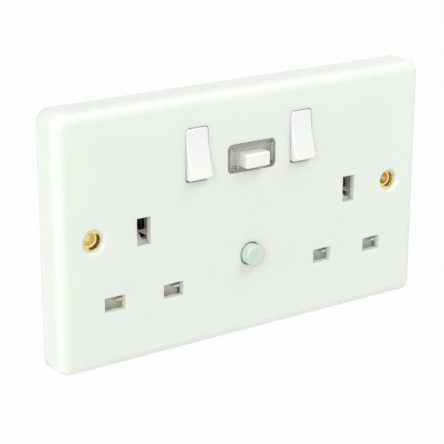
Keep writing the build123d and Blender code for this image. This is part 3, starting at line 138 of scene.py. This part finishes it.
def clear_plastic(name):
    """Clear moulding with faint flow lines, which lets the lamps' light through to what is behind it."""
    material, nodes, links, shader, place = new_material(name)
    cloud = spread(nodes, links, noise(nodes, links, place, 3), 0, 1)
    tint = blend_colours(nodes, links, cloud, (1.0, 1.0, 0.97), (0.98, 0.98, 0.95))
    links.new(tint, shader.inputs["Base Color"])
    milk = noise(nodes, links, place, 2)
    links.new(spread(nodes, links, milk, 0.86, 0.92), shader.inputs["Transmission Weight"])
    shader.inputs["IOR"].default_value = 1.49
    gloss = noise(nodes, links, place, 1.5)
    links.new(spread(nodes, links, gloss, 0.01, 0.04), shader.inputs["Roughness"])
    add_bump(nodes, links, shader, noise(nodes, links, place, 1.2, 2.0, (1, 1, 0.4)), 0.01, 0.2)
    path = nodes.new("ShaderNodeLightPath")
    passed = nodes.new("ShaderNodeMath")
    passed.operation = "MAXIMUM"
    links.new(path.outputs["Is Shadow Ray"], passed.inputs[0])
    links.new(path.outputs["Is Diffuse Ray"], passed.inputs[1])
    through = nodes.new("ShaderNodeBsdfTransparent")
    through.inputs["Color"].default_value = (0.95, 0.95, 0.94, 1)
    mix = nodes.new("ShaderNodeMixShader")
    links.new(passed.outputs["Value"], mix.inputs["Fac"])
    links.new(shader.outputs["BSDF"], mix.inputs[1])
    links.new(through.outputs["BSDF"], mix.inputs[2])
    output = next(node for node in nodes if node.type == "OUTPUT_MATERIAL")
    links.new(mix.outputs["Shader"], output.inputs["Surface"])
    return material


def winding(name, first, second, pitch_mm):
    """Enamelled wire wound round a vertical axis, as fine ridges, with painted shade: the darker second colour
    fills the grooves between the turns.
    """
    material, nodes, links, shader, place = new_material(name)
    wave = nodes.new("ShaderNodeTexWave")
    wave.wave_type = "BANDS"
    wave.bands_direction = "Z"
    wave.inputs["Scale"].default_value = WAVE_PERIOD / (pitch_mm * MM)
    wave.inputs["Distortion"].default_value = 0.4
    links.new(place, wave.inputs["Vector"])
    # Painted shade: where the wave is low, in the grooves between the turns, the wire takes the darker second
    # colour.
    links.new(blend_colours(nodes, links, wave.outputs["Fac"], second, first), shader.inputs["Base Color"])
    gloss = noise(nodes, links, place, 1.5)
    links.new(spread(nodes, links, gloss, 0.22, 0.4), shader.inputs["Roughness"])
    shader.inputs["Metallic"].default_value = 0.6
    add_bump(nodes, links, shader, wave.outputs["Fac"], 0.08, 0.8)
    return material


def circuit_lacquer(name):
    """Green lacquer over copper tracks, seen as slightly paler raised lanes."""
    material, nodes, links, shader, place = new_material(name)
    tracks = nodes.new("ShaderNodeTexBrick")
    tracks.inputs["Scale"].default_value = 150
    tracks.inputs["Mortar Size"].default_value = 0.03
    tracks.inputs["Color1"].default_value = (0.02, 0.13, 0.06, 1)
    tracks.inputs["Color2"].default_value = (0.025, 0.17, 0.08, 1)
    tracks.inputs["Mortar"].default_value = (0.05, 0.26, 0.12, 1)
    turn = nodes.new("ShaderNodeMapping")
    turn.inputs["Rotation"].default_value = (math.radians(90), 0, 0)
    links.new(place, turn.inputs["Vector"])
    links.new(turn.outputs["Vector"], tracks.inputs["Vector"])
    links.new(tracks.outputs["Color"], shader.inputs["Base Color"])
    gloss = noise(nodes, links, place, 4)
    links.new(spread(nodes, links, gloss, 0.25, 0.4), shader.inputs["Roughness"])
    add_bump(nodes, links, shader, tracks.outputs["Fac"], 0.03, 0.5)
    return material


brass = metal("brass_strip", (0.8, 0.58, 0.27), (0.66, 0.44, 0.18), 0.3)
copper = metal("copper_strip", (0.82, 0.45, 0.28), (0.66, 0.32, 0.18), 0.3)
steel = metal("zinc_plated_steel", (0.66, 0.66, 0.64), (0.52, 0.52, 0.51), 0.32)
spring_steel = metal("spring_steel", (0.5, 0.49, 0.47), (0.36, 0.35, 0.34), 0.25, patch_mm=0.8)
eyelet_brass = metal("eyelet_brass", (0.89, 0.76, 0.42), (0.8, 0.66, 0.32), 0.22, patch_mm=0.9, depth_mm=0.004)
face_plastic = plastic(
    "face_plastic", (0.8, 0.842, 0.785), (0.792, 0.835, 0.777), 0.3, 1.5, 0.003, coat=0.15, soft=0.9
)
rocker_plastic = plastic(
    "rocker_plastic", (0.83, 0.84, 0.81), (0.82, 0.83, 0.8), 0.24, 1.5, 0.003, coat=0.2, soft=0.3
)
# Painted warm shade: the white shutter plastic is tinted cream to stand in for the warm shade it shows inside
# the pin holes.
shutter_plastic_painted_warm_shade = plastic("shutter_plastic_painted_warm_shade", (0.86, 0.83, 0.7), (0.82, 0.79, 0.66), 0.38, 0.8, 0.004)
test_plastic = plastic(
    "test_plastic", (0.6, 0.69, 0.63), (0.58, 0.67, 0.61), 0.33, 1.2, 0.003, patch_mm=4, soft=0.1
)
inner_plastic = plastic("inner_plastic", (0.84, 0.84, 0.8), (0.81, 0.81, 0.77), 0.42)
housing_plastic = plastic("housing_plastic", (0.73, 0.745, 0.72), (0.7, 0.715, 0.69), 0.45, 0.6, 0.03)
black_plastic = plastic("black_plastic", (0.02, 0.02, 0.022), (0.03, 0.03, 0.03), 0.4)
flag_plastic = plastic("flag_plastic", (0.55, 0.03, 0.02), (0.45, 0.02, 0.015), 0.4)
blue_lacquer = plastic("blue_lacquer", (0.03, 0.09, 0.3), (0.02, 0.07, 0.24), 0.3, patch_mm=3)
beige_lacquer = plastic("beige_lacquer", (0.6, 0.46, 0.27), (0.54, 0.4, 0.22), 0.35, patch_mm=2)
window_plastic = clear_plastic("window_plastic")
coil_wire_painted_groove_shade = winding("coil_wire_painted_groove_shade", (0.72, 0.3, 0.14), (0.4, 0.13, 0.06), 0.35)
board_lacquer = circuit_lacquer("board_lacquer")

looks = {
    "faceplate": face_plastic,
    "contact_deck": inner_plastic,
    "rear_housing": housing_plastic,
    "housing_screws": steel,
    "terminal_screws": steel,
    "left_eyelet": eyelet_brass,
    "right_eyelet": eyelet_brass,
    "left_rocker": rocker_plastic,
    "right_rocker": rocker_plastic,
    "left_rocker_plunger": steel,
    "right_rocker_plunger": steel,
    "left_shutter": shutter_plastic_painted_warm_shade,
    "right_shutter": shutter_plastic_painted_warm_shade,
    "reset_window": window_plastic,
    "reset_button": rocker_plastic,
    "test_button": test_plastic,
    "indicator_flag": flag_plastic,
    "contact_carriage": black_plastic,
    "trip_lever": black_plastic,
    "line_moving_contact": copper,
    "neutral_moving_contact": copper,
    "line_conductor": copper,
    "neutral_conductor": copper,
    "test_leaf": copper,
    "test_post": steel,
    "circuit_board": board_lacquer,
    "sensing_toroid": blue_lacquer,
    "varistor": blue_lacquer,
    "test_resistor": beige_lacquer,
    "sense_chip": black_plastic,
    "smoothing_capacitor": black_plastic,
    "trip_solenoid": coil_wire_painted_groove_shade,
    "solenoid_frame": steel,
    "trip_plunger": steel,
}


def look_of(node):
    """The material of a node: its own, or by what it is made of."""
    if node in looks:
        return looks[node]
    return spring_steel if node.endswith("_spring") else brass


def soften(piece, width_mm):
    """Rounds a node's sharp edges by a bevel, once its faces are joined."""
    weld = piece.modifiers.new("joined_faces", "WELD")
    weld.merge_threshold = joined_within_mm * MM
    bevel = piece.modifiers.new("soft_edges", "BEVEL")
    bevel.width = width_mm * MM
    bevel.segments = 2
    bevel.limit_method = "ANGLE"
    bevel.angle_limit = math.radians(sharp_angle)
    bevel.harden_normals = False
    bevel.use_clamp_overlap = True


joined_within_mm = 0.001
sharp_angle = 32
edge_widths = {
    "faceplate": 0.15,
    "rear_housing": 0.25,
    "contact_deck": 0.15,
    "left_shutter": 0.15,
    "right_shutter": 0.15,
    "left_rocker": 0.15,
    "right_rocker": 0.15,
    "reset_window": 0.15,
}

for name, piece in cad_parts.items():
    piece.data.materials.clear()
    piece.data.materials.append(look_of(name))
    if name in edge_widths:
        soften(piece, edge_widths[name])


def squeeze(spring, axis, fixed_end):
    """Gives a compression spring its own mesh and works out its fixed end, 0 for its low and 1 for its high
    one; the spring is not shortened.
    """
    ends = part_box(spring)
    along = axis.index(1)
    anchor = [(low + high) / 2 for low, high in zip(*ends)]
    anchor[along] = ends[fixed_end][along]
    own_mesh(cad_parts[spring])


squeeze("reset_spring", (0, 1, 0), 1)
squeeze("test_spring", (0, 1, 0), 1)
for side in ("left", "right"):
    squeeze(f"{side}_shutter_spring", (0, 0, 1), 0)


# Camera


def aim(target, azimuth, elevation, distance, roll):
    """World matrix of a camera that looks at the target from that side."""
    turn, rise = math.radians(azimuth), math.radians(elevation)
    forward = Vector((-math.sin(turn) * math.cos(rise), math.cos(turn) * math.cos(rise), -math.sin(rise)))
    rotation = forward.to_track_quat("-Z", "Y").to_matrix().to_4x4()
    place = Matrix.Translation(Vector(target) - forward * distance)
    return place @ rotation @ Matrix.Rotation(roll, 4, "Z")


camera_data = bpy.data.cameras.new("camera")
camera_data.lens = 121.95
camera_data.sensor_width = 36
camera_data.shift_x = -0.00873
camera_data.shift_y = -0.0127
camera_data.clip_start = 0.01
camera_data.dof.use_dof = False
camera = bpy.data.objects.new("camera", camera_data)
bpy.context.scene.collection.objects.link(camera)
camera.matrix_world = aim(
    target=(-2.24 * MM, 0, -5.2 * MM), azimuth=-34.973, elevation=17.947, distance=0.510155, roll=0.004
)
bpy.context.scene.camera = camera


# Light


def softbox(name, place, width, height, power):
    """A rectangular studio lamp aimed at the middle of the fixing holes."""
    data = bpy.data.lights.new(name, "AREA")
    data.shape = "RECTANGLE"
    data.size = width
    data.size_y = height
    data.energy = power
    lamp = bpy.data.objects.new(name, data)
    bpy.context.scene.collection.objects.link(lamp)
    lamp.location = place
    lamp.rotation_euler = (-Vector(place)).to_track_quat("-Z", "Y").to_euler()


softbox("key", (-1.75, -1.55, 1.1), 1.3, 1.3, 23.0)
softbox("top", (0.25, -0.4, 0.65), 0.6, 0.35, 2.4)
softbox("left", (-1.2, 0.03, 0.35), 0.5, 0.5, 3.0)


def seen_share(nodes, links):
    """A factor that is 1 for what is seen, directly, in a reflection or through glass, and 0 for light."""
    path = nodes.new("ShaderNodeLightPath")
    factor = path.outputs["Is Camera Ray"]
    for ray in ("Is Glossy Ray", "Is Transmission Ray"):
        larger = nodes.new("ShaderNodeMath")
        larger.operation = "MAXIMUM"
        links.new(factor, larger.inputs[0])
        links.new(path.outputs[ray], larger.inputs[1])
        factor = larger.outputs["Value"]
    return factor


world = bpy.data.worlds.new("studio")
bpy.context.scene.world = world
world.use_nodes = True
world_nodes = world.node_tree.nodes
world_links = world.node_tree.links
world_nodes.clear()
output = world_nodes.new("ShaderNodeOutputWorld")
choose = world_nodes.new("ShaderNodeMixShader")
world_links.new(seen_share(world_nodes, world_links), choose.inputs["Fac"])
light_strength, seen_strength = 0.5, 1.0
for socket, strength in ((1, light_strength), (2, seen_strength)):
    white = world_nodes.new("ShaderNodeBackground")
    white.inputs["Color"].default_value = (1, 1, 1, 1)
    white.inputs["Strength"].default_value = strength
    world_links.new(white.outputs["Background"], choose.inputs[socket])
world_links.new(choose.outputs["Shader"], output.inputs["Surface"])

bpy.context.scene.view_settings.view_transform = "Standard"


# Floor


def floor_paper():
    """White studio paper, which the camera sees almost pure white, with a trace of the object's shadow."""
    material = plastic("floor_paper", (0.95, 0.95, 0.95), (0.94, 0.94, 0.94), 0.7, 2.0, 0.02, 60)
    nodes, links = material.node_tree.nodes, material.node_tree.links
    output = next(node for node in nodes if node.type == "OUTPUT_MATERIAL")
    shader = next(node for node in nodes if node.type == "BSDF_PRINCIPLED")
    white = nodes.new("ShaderNodeEmission")
    share = nodes.new("ShaderNodeMath")
    share.operation = "MULTIPLY"
    share.inputs[1].default_value = floor_white_share
    links.new(seen_share(nodes, links), share.inputs[0])
    mix = nodes.new("ShaderNodeMixShader")
    links.new(share.outputs["Value"], mix.inputs["Fac"])
    links.new(shader.outputs["BSDF"], mix.inputs[1])
    links.new(white.outputs["Emission"], mix.inputs[2])
    links.new(mix.outputs["Shader"], output.inputs["Surface"])
    return material


floor_white_share = 0.96
reach = 3.0
drop_to_floor = 0.12
floor_z = cad_box[0][2] - drop_to_floor
floor_mesh = bpy.data.meshes.new("floor")
floor_mesh.from_pydata(
    [(-reach, -reach, floor_z), (reach, -reach, floor_z), (reach, reach, floor_z), (-reach, reach, floor_z)],
    [],
    [(0, 1, 2, 3)],
)
floor = bpy.data.objects.new("floor", floor_mesh)
bpy.context.scene.collection.objects.link(floor)
floor_mesh.materials.append(floor_paper())
